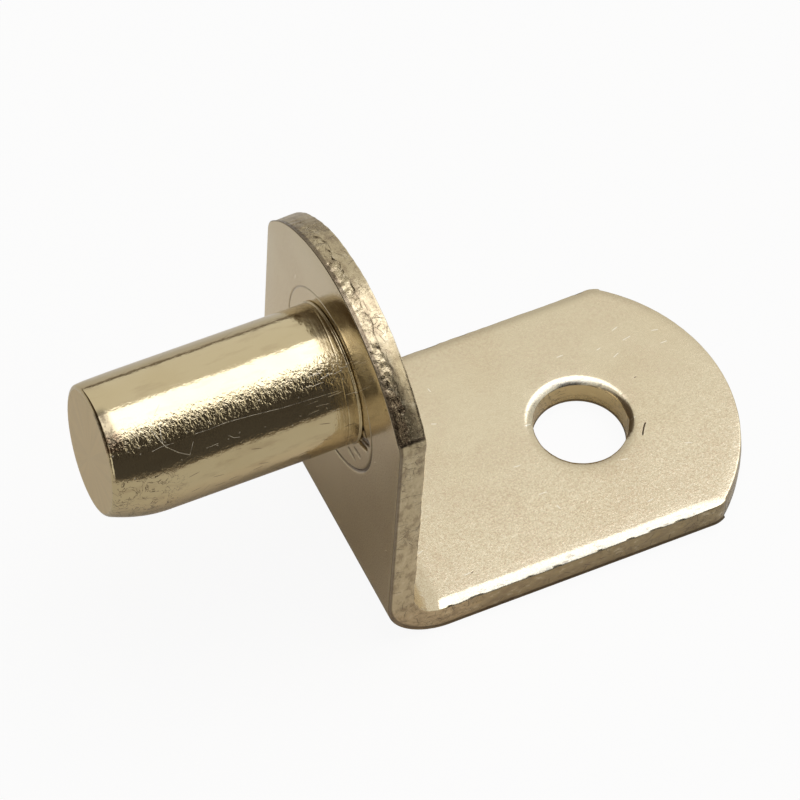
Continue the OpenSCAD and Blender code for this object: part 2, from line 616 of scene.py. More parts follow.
@dataclass(frozen=True)
class PinPlating(Plating):
    """Bright plating on a turned pin, scuffed on the side that faces down in use.

    Angles are in radians round the pin from its front; scratches run through places along the pin,
    in millimetres, and angles.
    """

    bright: float = 0.11
    dull_ends: float = 0.28
    shank_r: float = 3.175
    leather_low: float = 0.74
    smoke: Colour = (0.40, 0.30, 0.17)
    # Painted shade at the tip end of the dark band.
    tip_band_painted_shade: Colour = (0.30, 0.15, 0.08)
    # Painted shade that ends the highlight by the tip rim.
    rim_painted_shade: Colour = (0.15, 0.118, 0.07)
    # Painted shade at the pin's root.
    neck_painted_shade: Colour = (0.30, 0.23, 0.13)
    end_colour: Colour = (0.73, 0.555, 0.295)
    end_stain: Colour = (0.38, 0.31, 0.21)
    bare: Colour = (0.85, 0.80, 0.68)
    scratch_w: float = 0.036
    long_scratches: tuple[Path, ...] = (
        ((-7.32, 0.83), (-6.81, 0.825), (-5.87, 0.835), (-4.83, 0.81), (-3.34, 0.765), (-0.83, 0.727)),
        ((-9.05, 1.06), (-8.85, 0.90), (-8.69, 0.80), (-8.20, 0.66), (-7.78, 0.58), (-7.60, 0.68),
         (-7.49, 0.74)),
        ((-8.66, 1.10), (-8.74, 0.95), (-8.78, 0.85)),
        ((-9.3, 0.80), (-8.86, 0.82), (-8.34, 0.81)),
        ((-5.96, 0.66), (-5.75, 0.60), (-5.49, 0.58)),
        ((-6.90, 0.59), (-6.47, 0.60)),
    )

    def bright_marks(self, graph: Graph, at: PinPlace, in_dark: Wire) -> Wire:
        """Scratches, streaks and specks where the plating is worn bright.

        Args:
            graph: The material's graph.
            at: Where the place lies on the pin.
            in_dark: How much it lies in the scuffed band.

        Returns:
            One on a mark, and nought off them.
        """
        paths = tuple(tuple((x, turn * self.shank_r) for x, turn in path) for path in self.long_scratches)
        streaks = self.strokes(graph, at.skin, (0.42, 0.020), 0.62, 0.8, 0.14, 0.0)
        streaks = streaks * at.along.fade(-3.4, -1.2) * in_dark
        specks = self.strokes(graph, at.skin, (0.05, 0.03), 0.55, 0.35, 1.5, 0.0) * in_dark
        marks = self.scratches(graph, at.skin, paths, self.scratch_w).most(streaks).most(specks * 0.8)
        return marks * at.shank

    def dark_marks(self, graph: Graph, at: PinPlace, lower: Wire) -> Wire:
        """Hair cracks near the tip and fine dark scratches.

        Args:
            graph: The material's graph.
            at: Where the place lies on the pin.
            lower: How much it lies below the scuffed band.

        Returns:
            One on a mark, and nought off them.
        """
        fine = graph.noise(at.skin, (1.9, 1.9, 1.0), 4.0, 0.62, 0.7)
        marks = self.threads(fine, 0.016) * lower * at.along.fade(-7.6, -9.4) * at.shank * 0.8
        marks = marks.most(self.strokes(graph, at.skin, (0.30, 0.018), 1.0, 0.5, 0.30, 0.0) * lower * 0.7)
        marks = marks.most(self.strokes(graph, at.skin, (0.34, 0.014), 1.5, 0.35, 0.9, 0.3) * 0.4)
        return marks * at.shank

    def make(self) -> bpy.types.Material:
        """Builds the material.

        Returns:
            The pin's material.
        """
        material, graph, place = self.start()
        at = PinPlace.read(graph, place, self.shank_r)
        grain = graph.noise(place, 9.0, 3.0, 0.6)
        cloud = graph.noise(place, 0.35, 3.0)
        rust = graph.noise(at.skin, (3.0, 2.0, 1.0), 3.0, 0.65)
        smoke = graph.noise(at.skin, (0.5, 1.6, 1.0), 3.0, 0.6).fade(0.50, 0.72) * at.shank
        faint = graph.noise(at.skin, 2.2, 2.0, 0.6).fade(0.36, 0.60)

        ragged = at.turn + (graph.noise(at.skin, (1.2, 0.1, 1.0), 3.0, 0.6) - 0.5) * 0.16
        leathery = at.turn.fade(1.36, 1.18) * ragged.fade(self.leather_low, self.leather_low + 0.18)
        in_dark = at.turn.fade(1.15, 1.0) * at.turn.fade(0.42, 0.52)
        lower = at.turn.fade(0.62, 0.50)
        neck = at.along.fade(-1.10, -0.72) * at.shank
        rim = at.along.fade(-10.35, -10.66) * at.turn.fade(0.95, 1.12) * at.turn.fade(1.66, 1.48) * at.shank
        tip_band_shade = at.along.fade(-10.1, -10.7) * at.turn.fade(1.26, 1.15) * at.turn.fade(0.9, 1.0)
        bright, dark = self.bright_marks(graph, at, in_dark), self.dark_marks(graph, at, lower)
        net = self.threads(graph.noise(at.skin, (4.2, 2.6, 1.0), 2.0, 0.5, 1.2), 0.030)
        worn = at.turn.fade(1.24, 1.12) * ragged.fade(self.leather_low, self.leather_low + 0.12)
        net = net * worn * at.shank

        colour = graph.blend(cloud.fade(0.40, 0.70) * 0.5, rgba(self.colour), rgba(self.tarnish))
        colour = colour.tinted(smoke * (0.26 + lower * 0.20), self.smoke)
        # Painted shade: darkens the tip end of the dark reflected band, mottled by the grain.
        colour = colour.tinted(tip_band_shade * grain.fade(0.35, 0.55) * 0.7 * at.shank, self.tip_band_painted_shade)
        # Painted shade: darkens the highlight band near the tip rim so the highlight ends before it.
        colour = colour.tinted(rim * (0.6 + rust.fade(0.42, 0.6) * 0.35), self.rim_painted_shade)
        # Painted shade: the root is darkened in patches to dull the highlight where the pin meets the plate.
        colour = colour.tinted(neck * rust.fade(0.36, 0.60) * 0.38, self.neck_painted_shade)
        colour = colour.tinted(at.ends * 0.5, self.end_colour)
        colour = colour.tinted(at.ends * (0.03 + rust.fade(0.40, 0.62) * 0.12), self.end_stain)
        colour = colour.tinted(dark.most(net * 0.5), self.pit).tinted(bright * 0.6, self.bare)

        roughness = self.bright + (grain - 0.5) * 0.05 + at.ends * self.dull_ends + dark * 0.15
        roughness = roughness + rim * 0.08 + neck * 0.12 + bright * (0.12 + faint * 0.22)

        drawn = graph.noise(at.skin, (0.5, 9.0, 1.0), 3.0, 0.6)
        swell = graph.noise(at.skin, (1.3, 1.6, 1.0), 4.0, 0.6)
        wrinkle = graph.noise(at.skin, (6.6, 4.8, 1.0), 2.0, 0.5, 1.0)
        ridge = graph.noise(at.skin, (9.0, 4.6, 1.0), 1.0, 0.5, 0.6)
        scuffed = ((wrinkle - 0.5) * 0.022 + (ridge - 0.5) * 0.010) * leathery.most(in_dark * 0.25)
        turned = (drawn - 0.5) * 0.0010 + (swell - 0.5) * 0.016 + scuffed
        height = (grain - 0.5) * 0.0010 - dark * 0.002 - bright * 0.002 + (smoke - 0.5) * 0.0015
        self.finish(graph, colour, roughness, height + turned * at.shank)
        return material


# ---- Meshes -------------------------------------------------------------------------------


def placed(name: str, data: Union[bpy.types.Mesh, bpy.types.Camera]) -> bpy.types.Object:
    """Makes an object in the scene.

    Args:
        name: Name of the object.
        data: Its mesh or camera.

    Returns:
        The object.
    """
    made = bpy.data.objects.new(name, data)
    bpy.context.scene.collection.objects.link(made)
    return made


def face_outwards(mesh: bpy.types.Mesh) -> None:
    """Turns every face of a closed mesh outwards.

    Args:
        mesh: The mesh.
    """
    shell = bmesh.new()
    shell.from_mesh(mesh)
    bmesh.ops.recalc_face_normals(shell, faces=shell.faces)
    shell.to_mesh(mesh)
    shell.free()


def wander(count: int, waves: tuple[int, int], size: float, seed: int) -> np.ndarray:
    """A smooth random line that closes on itself.

    Args:
        count: Number of samples round the loop.
        waves: Fewest and most waves round the loop.
        size: Standard deviation of the line.
        seed: Seed of the random numbers.

    Returns:
        The line's value at each sample.
    """
    rng = np.random.default_rng(seed)
    parts = 48
    wave = rng.integers(waves[0], waves[1] + 1, parts)
    phase = rng.uniform(0, 2 * math.pi, parts)
    turn = np.arange(count)[:, None] * (2 * math.pi / count)
    return np.sin(turn * wave + phase).sum(axis=1) * size * math.sqrt(2 / parts)


def crinkle(count: int, waves: tuple[int, int], heights: np.ndarray, cell: float, seed: int) -> np.ndarray:
    """A smooth random relief over a wall that closes on itself.

    Args:
        count: Number of samples round the wall.
        waves: Fewest and most waves round the wall.
        heights: Height of each row.
        cell: Distance in height over which the relief changes.
        seed: Seed of the random numbers.

    Returns:
        The relief, one row for each height, with a standard deviation of about one.
    """
    levels = heights / cell
    lines = {n: wander(count, waves, 1.0, seed + n) for n in range(int(levels.min()), int(levels.max()) + 2)}
    rows = []
    for level in levels:
        below = int(level)
        part = (level - below) * math.pi / 2
        rows.append(lines[below] * math.cos(part) + lines[below + 1] * math.sin(part))
    return np.array(rows)


def enclosed(places: np.ndarray, loop: np.ndarray) -> np.ndarray:
    """Finds which places lie inside a closed line.

    Args:
        places: The places, one in each row.
        loop: The line's corners.

    Returns:
        True for each place that lies inside.
    """
    inside = np.zeros(len(places), bool)
    for (x0, y0), (x1, y1) in zip(loop, np.roll(loop, -1, axis=0)):
        spans = (places[:, 1] < y0) != (places[:, 1] < y1)
        if y0 != y1:
            inside ^= spans & (places[:, 0] < x0 + (places[:, 1] - y0) * (x1 - x0) / (y1 - y0))
    return inside


@dataclass
class MeshPlan:
    """Points, per-point marks and faces of a mesh before Blender gets them, in millimetres."""

    labels: tuple[str, ...] = ("wall", "run", "torn", "pressed", "rolled")
    points: list[np.ndarray] = field(default_factory=list)
    marks: list[np.ndarray] = field(default_factory=list)
    faces: list[tuple[int, ...]] = field(default_factory=list)
    count: int = 0

    def add(self, points: np.ndarray, **marks: Union[float, np.ndarray]) -> np.ndarray:
        """Adds points.

        Args:
            points: One row for each point.
            **marks: Values of the points by label; a label that isn't named is nought.

        Returns:
            The points' numbers in the mesh.
        """
        size = len(points)
        self.points.append(np.asarray(points, float))
        rows = [np.broadcast_to(np.asarray(marks.get(label, 0.0), float), size) for label in self.labels]
        self.marks.append(np.stack(rows, axis=1))
        self.count += size
        return np.arange(self.count - size, self.count)

    def bridge(self, first: np.ndarray, second: np.ndarray) -> None:
        """Joins two closed rings of the same number of points with four-sided faces."""
        after, beyond = np.roll(first, -1), np.roll(second, -1)
        self.faces.extend(zip(first.tolist(), second.tolist(), beyond.tolist(), after.tolist()))

    def cap(self, edge: np.ndarray, holes: list[np.ndarray], inner: np.ndarray) -> None:
        """Fills a flat face between its outline and its holes.

        Args:
            edge: Numbers of the outline's points.
            holes: Numbers of each hole's points.
            inner: Numbers of the loose points inside the face.
        """
        loops = [edge] + holes
        numbers = np.concatenate(loops + [inner])
        everywhere = np.concatenate(self.points)[:, :2]
        sides, start = [], 0
        for loop in loops:
            last = start + len(loop)
            sides.extend((i, i + 1 if i + 1 < last else start) for i in range(start, last))
            start = last
        made = geometry.delaunay_2d_cdt([Vector(p) for p in everywhere[numbers]], sides, [], 0, 1e-7)
        source = np.array([numbers[group[0]] for group in made[3]])
        faces = source[np.array(made[2])]
        middles = everywhere[faces].mean(axis=1)
        kept = enclosed(middles, everywhere[edge])
        for hole in holes:
            kept &= ~enclosed(middles, everywhere[hole])
        self.faces.extend(tuple(face) for face in faces[kept].tolist())

    def make(self, name: str) -> bpy.types.Object:
        """Turns the plan into a Blender object.

        Args:
            name: Name of the object and its mesh.

        Returns:
            The object, with its faces turned outwards.
        """
        points = np.concatenate(self.points)
        mesh = bpy.data.meshes.new(name)
        mesh.from_pydata((points * MM).tolist(), [], self.faces)
        mesh.attributes.new("flat", "FLOAT_VECTOR", "POINT").data.foreach_set("vector", points.ravel())
        for label, values in zip(self.labels, np.concatenate(self.marks).T):
            layer = mesh.attributes.new(label, "FLOAT", "POINT")
            layer.data.foreach_set("value", np.ascontiguousarray(values))
        face_outwards(mesh)
        mesh.polygons.foreach_set("use_smooth", [True] * len(mesh.polygons))
        return placed(name, mesh)


class NodeModifier:
    """A Geometry Nodes tree with named inputs, run once on an object."""

    def __init__(self, name: str, inputs: dict[str, Value]) -> None:
        """Starts the tree.

        Args:
            name: Name of the tree.
            inputs: The tree's inputs and their values, by name.
        """
        self.tree = bpy.data.node_groups.new(name, "GeometryNodeTree")
        self.graph = Graph(self.tree)
        self.values = {}
        self.tree.interface.new_socket("Geometry", in_out="INPUT", socket_type="NodeSocketGeometry")
        self.tree.interface.new_socket("Geometry", in_out="OUTPUT", socket_type="NodeSocketGeometry")
        kinds = {float: "NodeSocketFloat", int: "NodeSocketInt", bpy.types.Object: "NodeSocketObject"}
        for label, value in inputs.items():
            socket = self.tree.interface.new_socket(label, in_out="INPUT", socket_type=kinds[type(value)])
            self.values[socket.identifier] = value
        self.first = self.graph.node("NodeGroupInput")

    def input(self, name: str) -> Wire:
        """One of the tree's inputs."""
        return self.graph.also(self.first, name)

    def run(self, piece: bpy.types.Object, geometry_out: Wire, material: bpy.types.Material) -> None:
        """Ends the tree, runs it on an object and keeps the result as its plain mesh.

        Args:
            piece: The object that the tree works on.
            geometry_out: The geometry that the tree has made.
            material: The material of everything that the tree makes.
        """
        real = self.graph.node("GeometryNodeRealizeInstances", None, {"Geometry": geometry_out})
        dressed = self.graph.node("GeometryNodeSetMaterial", None, {"Geometry": real, "Material": material})
        self.graph.node("NodeGroupOutput", None, {"Geometry": dressed})
        modifier = piece.modifiers.new(self.tree.name, "NODES")
        modifier.node_group = self.tree
        for identifier, value in self.values.items():
            modifier[identifier] = value
        depsgraph = bpy.context.evaluated_depsgraph_get()
        mesh = bpy.data.meshes.new_from_object(piece.evaluated_get(depsgraph))
        piece.modifiers.remove(modifier)
        piece.data = mesh
        mesh.name = piece.name


# ---- The bracket --------------------------------------------------------------------------


@dataclass(frozen=True)
class Edge:
    """Section of a sheared edge: a roll, a burnished band, a torn band and a small round, in millimetres."""

    roll: float
    roll_slope: float
    lean: float = 0.07
    lip_r: float = 0.07
    torn_from: float = 0.64
    torn_in: float = 0.022
    back_r: float = 0.07

    def section(self, thickness: float) -> np.ndarray:
        """Steps of the section from the rolled face to the other face.

        Args:
            thickness: Thickness of the sheet.

        Returns:
            For each step its distance in from the wall, its height above the outer face, how much
            it belongs to the wall, and how far it lies down the torn band, from nought to one.
        """
        slope = math.radians(self.roll_slope)
        steep = math.pi / 2 - math.atan(2 * self.lean / (thickness - self.torn_from))
        lip_in = self.lean + self.lip_r * math.sin(steep)
        reach = self.roll - (lip_in - self.lip_r * math.sin(slope))
        drop = 0.5 * math.tan(slope) * reach
        steps = [(self.roll - part * reach, thickness - drop * part**2, 0.0, 0.0)
                 for part in np.linspace(0, 1, 9)]
        lip_h = thickness - drop - self.lip_r * math.cos(slope)
        for angle in np.linspace(slope, steep, 6)[1:]:
            share = (angle - slope) / (steep - slope)
            steps.append((lip_in - self.lip_r * math.sin(angle), lip_h + self.lip_r * math.cos(angle),
                          share, 0.0))
        last_h = steps[-1][1]
        for part in np.linspace(0, 1, 8)[1:]:
            steps.append((self.lean * (1 - part) ** 2, last_h + part * (self.torn_from - last_h), 1.0, 0.0))
        for part in (0.04, 0.09, 0.15, *np.linspace(0.22, 1, 9)):
            height = self.torn_from + part * (self.back_r - self.torn_from)
            steps.append((0.0, height, 1.0, part))
        for angle in np.linspace(0, math.pi / 2, 6)[1:]:
            steps.append((self.back_r * (1 - math.cos(angle)), self.back_r * (1 - math.sin(angle)),
                          1.0 - angle * 2 / math.pi, 1.0))
        return np.array(steps)


@dataclass(frozen=True)
class Dent:
    """A small mark that the riveting tool has pressed beside the pin, in millimetres.

    The ends are places across and up from the pin's axis.
    """

    start: tuple[float, float]
    end: tuple[float, float]
    width: float
    depth: float

    def pressed(self, places: np.ndarray) -> np.ndarray:
        """How far each place lies into the mark.

        Args:
            places: Places across and up from the pin's axis.

        Returns:
            Nought well off the mark, and one in its middle.
        """
        start, way = np.array(self.start), np.array(self.end) - self.start
        along = np.clip((places - start) @ way / (way @ way), 0, 1)
        away = np.hypot(*(places - start - along[:, None] * way).T)
        return np.exp(-((away / self.width) ** 2))


@dataclass
class Wall:
    """A sheared wall that follows an outline. Sizes are in millimetres.

    Each point of the outline has a normal away from the metal, a distance along the outline and how
    torn the wall is there. The ease is the roll's depth as a share of the section's roll, and the
    swell is how far the wall's rolled side stands out.
    """

    points: np.ndarray
    normals: np.ndarray
    run: np.ndarray
    torn: np.ndarray
    edge: Edge
    thickness: float
    seed: int
    ease: Union[float, np.ndarray] = 1.0
    swell: Union[float, np.ndarray] = 0.0
    cut_in: float = 0.03
    chip_in: float = 0.045
    crumble: float = 0.012
    ragged_by: float = 0.05
    ragged_h: float = 0.42
    wavy_by: float = 0.004
    rounded_h: float = 0.1
    steepened: float = 0.75
    flange_from: float = 2.9

    def __post_init__(self) -> None:
        """Works out the rows of the wall and draws its uneven lines."""
        edge, torn = self.edge, self.torn
        self.section = edge.section(self.thickness)
        self.rough = crinkle(len(self.points), self.waves(2, 0.35), self.section[:, 1], 0.2, self.seed)
        self.ragged = wander(len(self.points), self.waves(4, 0.5), self.ragged_by, self.seed + 70)
        self.wavy = np.abs(wander(len(self.points), self.waves(3, 0.8), self.wavy_by, self.seed + 71))
        self.chips = np.clip(wander(len(self.points), self.waves(9, 1.1), 1.0, self.seed + 72) - 0.8, 0, 1)
        self.torn_share = 0.2 + 0.8 * torn
        change = np.abs(np.diff(torn, append=torn[0])) + np.abs(np.diff(torn, prepend=torn[-1]))
        self.edge_line = np.clip(change, 0, 1)
        self.on_flange = np.clip(self.points[:, 0] - self.flange_from, 0, 0.5) / 0.5
        on_roll = (self.section[:, 2] == 0) & (self.section[:, 1] > edge.torn_from)
        self.roll_h = self.section[on_roll, 1].min()
        self.dropped = self.thickness - (self.thickness - self.roll_h) * self.ease

    def waves(self, longest: float, shortest: float) -> tuple[int, int]:
        """Fewest and most waves along the wall, from their lengths in millimetres."""
        return round(self.run[-1] / longest), round(self.run[-1] / shortest)

    def inset(self, number: int) -> np.ndarray:
        """How far a row of the wall lies in from the outline, without its relief.

        Args:
            number: Number of the row.

        Returns:
            The distance at each point.
        """
        inset, _, wall, _ = self.section[number]
        upright = 1.0 if wall < 1 else min(inset / self.edge.lean, 1.0)
        return inset - self.steepened * self.edge.lean * upright * (1 - self.torn)

    def relief(self, number: int) -> np.ndarray:
        """How far cutting and tearing have taken a row of the wall in, less its swell.

        Args:
            number: Number of the row.

        Returns:
            The distance at each point.
        """
        _, height, wall, depth = self.section[number]
        from_face = min(self.thickness - height, height)
        inner_part = np.clip(from_face / self.rounded_h, 0, 1)
        band = min(depth / 0.15, 1.0) * min((1.0 - depth) / 0.2, 1.0)
        rough = self.edge.torn_in * min(depth / 0.12, 1.0) + self.crumble * band * self.rough[number]
        chipped = 0 < wall and height > self.edge.torn_from + 0.2
        notch = self.chip_in * self.chips * self.on_flange * (1 - self.torn) * chipped
        step = self.cut_in * self.torn * wall + notch
        taken = np.maximum(rough, 0.0) * self.torn_share + step + self.wavy * inner_part
        return taken - self.swell * min(height / 1.2, 1.0)

    def level(self, number: int) -> np.ndarray:
        """Height of a row of the wall above the outer face.

        Args:
            number: Number of the row.

        Returns:
            The height of each point.
        """
        _, height, wall, _ = self.section[number]
        torn_from = self.edge.torn_from
        level = height
        if wall == 0 and height > self.edge.back_r:
            level = self.thickness - (self.thickness - height) * self.ease
        elif height > torn_from:
            level = torn_from + (height - torn_from) * (self.dropped - torn_from) / (self.roll_h - torn_from)
        near_line = max(1 - abs(height - torn_from) / self.ragged_h, 0.0)
        return level + self.ragged * near_line * (wall > 0.99) * self.torn_share

    def marks(self, number: int) -> dict[str, Union[float, np.ndarray]]:
        """What the material needs to know of a row of the wall.

        Args:
            number: Number of the row.

        Returns:
            The marks of its points, by label.
        """
        _, height, wall, depth = self.section[number]
        edge, sideways = self.edge, self.normals[:, 1]
        above = height > edge.torn_from
        # Painted dark reflection: a dark line at the foot of the torn band and on the wall's outer round.
        lined = 0.2 * self.torn if 0.03 < depth < 0.12 else 0.8 if depth > 0.75 and wall > 0.3 else 0.0
        pressed = np.maximum(self.edge_line * (wall > 0.99), lined)
        over = np.clip((edge.roll - self.inset(number)) / edge.roll * 1.6, 0, 1) * (1 - wall) * above
        if 0 < wall < 1 and above:
            pressed = np.maximum(pressed, self.chips * (1 - self.torn))
        return {
            "wall": wall,
            "run": self.run,
            "torn": self.torn * (wall > 0.99) * (0.15 + 0.85 * (depth > 0)),
            # Painted shade: rolls that face away (+Y) darken as a line.
            "pressed": np.maximum(pressed, 0.3 * over**2 * np.clip(sideways, 0, 1)),
            # rolled: the near-facing roll, which the material tints as a painted highlight tone.
            "rolled": over * np.clip(self.ease * 1.5, 0, 1) * np.clip(-sideways, 0, 1) * self.on_flange,
        }

    def add(self, plan: MeshPlan) -> tuple[np.ndarray, np.ndarray]:
        """Adds the wall to a mesh.

        Args:
            plan: The mesh so far.

        Returns:
            The rings that bound the rolled face and the other face.
        """
        rings = []
        for number in range(len(self.section)):
            push = self.inset(number) + self.relief(number)
            flat = self.points - self.normals * push[:, None]
            rings.append(plan.add(np.column_stack([flat, self.level(number)]), **self.marks(number)))
        for upper, lower in zip(rings, rings[1:]):
            plan.bridge(upper, lower)
        return rings[0], rings[-1]


@dataclass
class Bracket:
    """The folded strip. Sizes are in millimetres; u runs along the flat blank and v across it."""

    low: np.ndarray
    high: np.ndarray
    thickness: float
    hole_x: float
    hole_r: float
    finish: BracketPlating
    bend_inner_r: float = 1.75
    flange_corner_r: float = 1.2
    upright_corner_r: float = 1.2
    upright_far_r: float = 1.5
    far_torn_to: float = 5.6
    far_swell: float = 0.10
    far_swell_at: float = 4.2
    far_swell_w: float = 1.1
    roll_fades_at: float = 14.2
    roll_fade_len: float = 3.2
    hole_burr: float = 0.07
    flange_end_r: float = 8.2
    upright_end_r: float = 7.8
    tenon_r: float = 2.27
    mark_r: float = 4.18
    mark_drop: float = 0.54
    mark_aside: float = 0.05
    anvil_lean: tuple[float, float] = (0.85, -0.53)
    groove_w: tuple[float, float] = (0.038, 0.040)
    groove_d: tuple[float, float] = (0.028, 0.062)
    sunk: float = 0.010
    step: float = 0.08
    dents: tuple[Dent, ...] = (
        Dent((-2.08, -3.02), (-2.55, -3.02), 0.09, 0.09),
        Dent((-2.62, -2.33), (-3.05, -2.24), 0.09, 0.09),
        Dent((-2.95, -1.30), (-3.64, -0.99), 0.10, 0.10),
        Dent((-3.20, -0.85), (-3.74, -0.45), 0.17, 0.08),
        Dent((-3.24, -0.10), (-3.42, -0.20), 0.11, 0.08),
    )
    bulge: float = 0.10
    rim: Edge = field(default_factory=lambda: Edge(roll=0.62, roll_slope=21.0, lip_r=0.06))
    pierced: Edge = field(default_factory=lambda: Edge(roll=0.50, roll_slope=34.0, lean=0.04, torn_from=0.5))

    def __post_init__(self) -> None:
        """Works out what follows from the sizes."""
        self.half_w = (self.high[1] - self.low[1]) / 2
        self.fold_r = self.bend_inner_r + self.thickness
        self.fold_len = math.pi / 2 * (self.fold_r - self.thickness / 2)
        self.fold_end = self.fold_r - self.fold_len
        self.fold_z = self.low[2] + self.fold_r
        self.top_u = self.fold_end - (self.high[2] - self.fold_z)
        self.pin_u = self.fold_end + self.fold_z
        self.ring_centre = np.array([self.pin_u + self.mark_drop, self.mark_aside])

    def leg_edge(self, tip: float, end_r: float, corner_r: float, way: int) -> list[np.ndarray]:
        """Half of a leg's outline, from its tip to its straight side.

        Args:
            tip: Place of the tip on u.
            end_r: Radius of the round end.
            corner_r: Radius of the corner between the round end and the side.
            way: One if the leg runs towards +u, and minus one if it runs the other way.

        Returns:
            For the end's arc and for the corner's arc, rows of u, v, the outward normal's two
            parts, and how torn the wall is there.
        """
        half = math.asin((self.half_w - corner_r) / (end_r - corner_r))
        middle = np.array([abs(tip) - end_r, 0.0])
        corner = middle + (end_r - corner_r) * np.array([math.cos(half), math.sin(half)])
        rows = []
        for centre, radius, start, end in ((middle, end_r, 0.0, half), (corner, corner_r, half, math.pi / 2)):
            count = max(8, round(radius * (end - start) / self.step))
            angles = np.linspace(start, end, count, endpoint=False)
            normals = np.stack([np.cos(angles), np.sin(angles)], axis=1)
            points = centre + radius * normals
            torn = np.where(angles < half + 0.12 * (math.pi / 2 - half), 1.0, 0.0)
            rows.append(np.column_stack([points * [way, 1], normals * [way, 1], torn]))
        return rows

    def roll_share(self, points: np.ndarray) -> np.ndarray:
        """How deep the roll is round the blank: uneven, and nearly gone round the flange's end.

        Args:
            points: The blank's outline.

        Returns:
            The roll's depth at each point, as a share of the section's roll.
        """
        count = len(points)
        past = np.clip((points[:, 0] - self.roll_fades_at) / self.roll_fade_len, 0, 1)
        fading = 1.0 - 0.9 * past**2 * (3 - 2 * past)
        uneven = wander(count, (8, 40), 0.09, 31) + wander(count, (60, 140), 0.05, 32)
        return np.clip(fading * (1 + uneven), 0.08, 1.25)

    def outline(self) -> Outline:
        """The blank's outline.

        Returns:
            Its points, outward normals, distances along it and how torn its wall is.
        """
        front = np.concatenate(self.leg_edge(self.high[0], self.flange_end_r, self.flange_corner_r, 1))
        halves = []
        for corner_r, torn_to in ((self.upright_far_r, self.far_torn_to), (self.upright_corner_r, math.inf)):
            back = np.concatenate(self.leg_edge(self.top_u, self.upright_end_r, corner_r, -1))[::-1]
            back[:, 4] *= np.clip((torn_to - back[:, 1]) / 2.0, 0, 1)
            from_u, to_u = front[-1, 0], back[0, 0]
            side_u = np.linspace(from_u, to_u, round((from_u - to_u) / self.step))[1:-1]
            side = np.column_stack([side_u, np.tile([self.half_w, 0.0, 1.0, 0.0], (len(side_u), 1))])
            halves.append(np.concatenate([front, side, back]))
        rows = np.concatenate([halves[0], halves[1][-2:0:-1] * [1, -1, 1, -1, 1]])
        points, normals, torn = rows[:, :2], rows[:, 2:4], rows[:, 4]
        steps = np.hypot(*(np.roll(points, -1, axis=0) - points).T)
        return points, normals, np.concatenate([[0.0], np.cumsum(steps)[:-1]]), torn

    def ring_of(self, centre_u: float, radius: float) -> Outline:
        """A round hole's outline.

        Args:
            centre_u: Place of the hole's centre on u.
            radius: The hole's radius.

        Returns:
            Its points, normals away from the metal, distances along it and how torn its wall is.
        """
        count = round(2 * math.pi * radius / self.step)
        angles = np.arange(count) * (2 * math.pi / count)
        out = np.stack([np.cos(angles), np.sin(angles)], axis=1)
        return np.array([centre_u, 0.0]) + radius * out, -out, angles * radius, np.full(count, 0.2)

    def lattice(self, edge: np.ndarray, holes: list[np.ndarray]) -> np.ndarray:
        """Loose points over a flat face, closer together in the fold.

        Args:
            edge: The face's outline.
            holes: Outlines of its holes.

        Returns:
            The loose points.
        """
        columns = [np.arange(self.top_u, self.fold_end - 0.3, 0.5)]
        columns.append(np.arange(self.fold_end - 0.3, self.fold_r + 0.3, 0.11))
        columns.append(np.arange(self.fold_r + 0.5, self.high[0], 0.5))
        rows = np.linspace(-self.half_w, self.half_w, 25)
        grid = np.array([(u, v) for u in np.concatenate(columns) for v in rows])
        fence = np.concatenate([edge, *holes])
        near = np.array([np.min(np.sum((fence - p) ** 2, axis=1)) for p in grid])
        kept = (near > 0.2**2) & enclosed(grid, edge)
        for hole in holes:
            kept &= ~enclosed(grid, hole)
        return grid[kept]

    def riveted(self, places: np.ndarray) -> tuple[np.ndarray, np.ndarray]:
        """How the riveting anvil has pressed the outer face round the pin.

        Args:
            places: Places on the outer face.

        Returns:
            Depth below the face, and how much of a mark each place shows.
        """
        from_ring = places - self.ring_centre
        radius = np.hypot(*from_ring.T)
        down = np.clip((from_ring @ self.anvil_lean) / radius, 0, 1)
        width = self.groove_w[0] + self.groove_w[1] * down
        groove = np.exp(-(((radius - self.mark_r) / width) ** 2))
        depth = (self.groove_d[0] + self.groove_d[1] * down**2) * groove
        depth = depth + self.sunk * np.clip((self.mark_r - radius) / 0.3, 0, 1)
        mark = np.minimum(1.7 * groove, 1.0) * (0.48 + 0.52 * down)
        from_pin = np.column_stack([places[:, 1], self.pin_u - places[:, 0]])
        for dent in self.dents:
            pressed = dent.pressed(from_pin)
            depth += dent.depth * pressed
            mark = np.maximum(mark, np.minimum(1.8 * pressed, 1.0))
        return depth, mark

    def around_pin(self, loose: np.ndarray) -> np.ndarray:
        """Puts the outer face's loose points closer together where riveting has marked it.

        Args:
            loose: Evenly spread points.

        Returns:
            All the loose points.
        """
        angles = np.arange(320) * (2 * math.pi / 320)
        way = np.stack([np.cos(angles), np.sin(angles)], axis=1)
        near_ring = np.hypot(*(loose - self.ring_centre).T)
        loose = loose[(near_ring > self.mark_r + 0.45) | (near_ring < self.mark_r - 0.6)]
        offsets = [[-0.5, -0.4, -0.3, -0.22], np.arange(-0.15, 0.155, 0.015), [0.22, 0.3]]
        radii = self.mark_r + np.concatenate(offsets)
        around = np.concatenate([self.ring_centre + radius * way for radius in radii])
        dented = np.array([(u, v) for u in np.arange(self.pin_u, self.pin_u + 3.4, 0.055)
                           for v in np.arange(-4.0, -1.9, 0.055)])
        inside_ring = np.hypot(*(dented - self.ring_centre).T) < self.mark_r - 0.54
        outside_pin = np.hypot(*(dented - [self.pin_u, 0.0]).T) > self.tenon_r + 0.15
        dented = dented[inside_ring & outside_pin]
        loose = loose[np.min(np.sum((loose[:, None] - dented[::7]) ** 2, axis=2), axis=1) > 0.2**2]
        return np.concatenate([loose, around, dented])

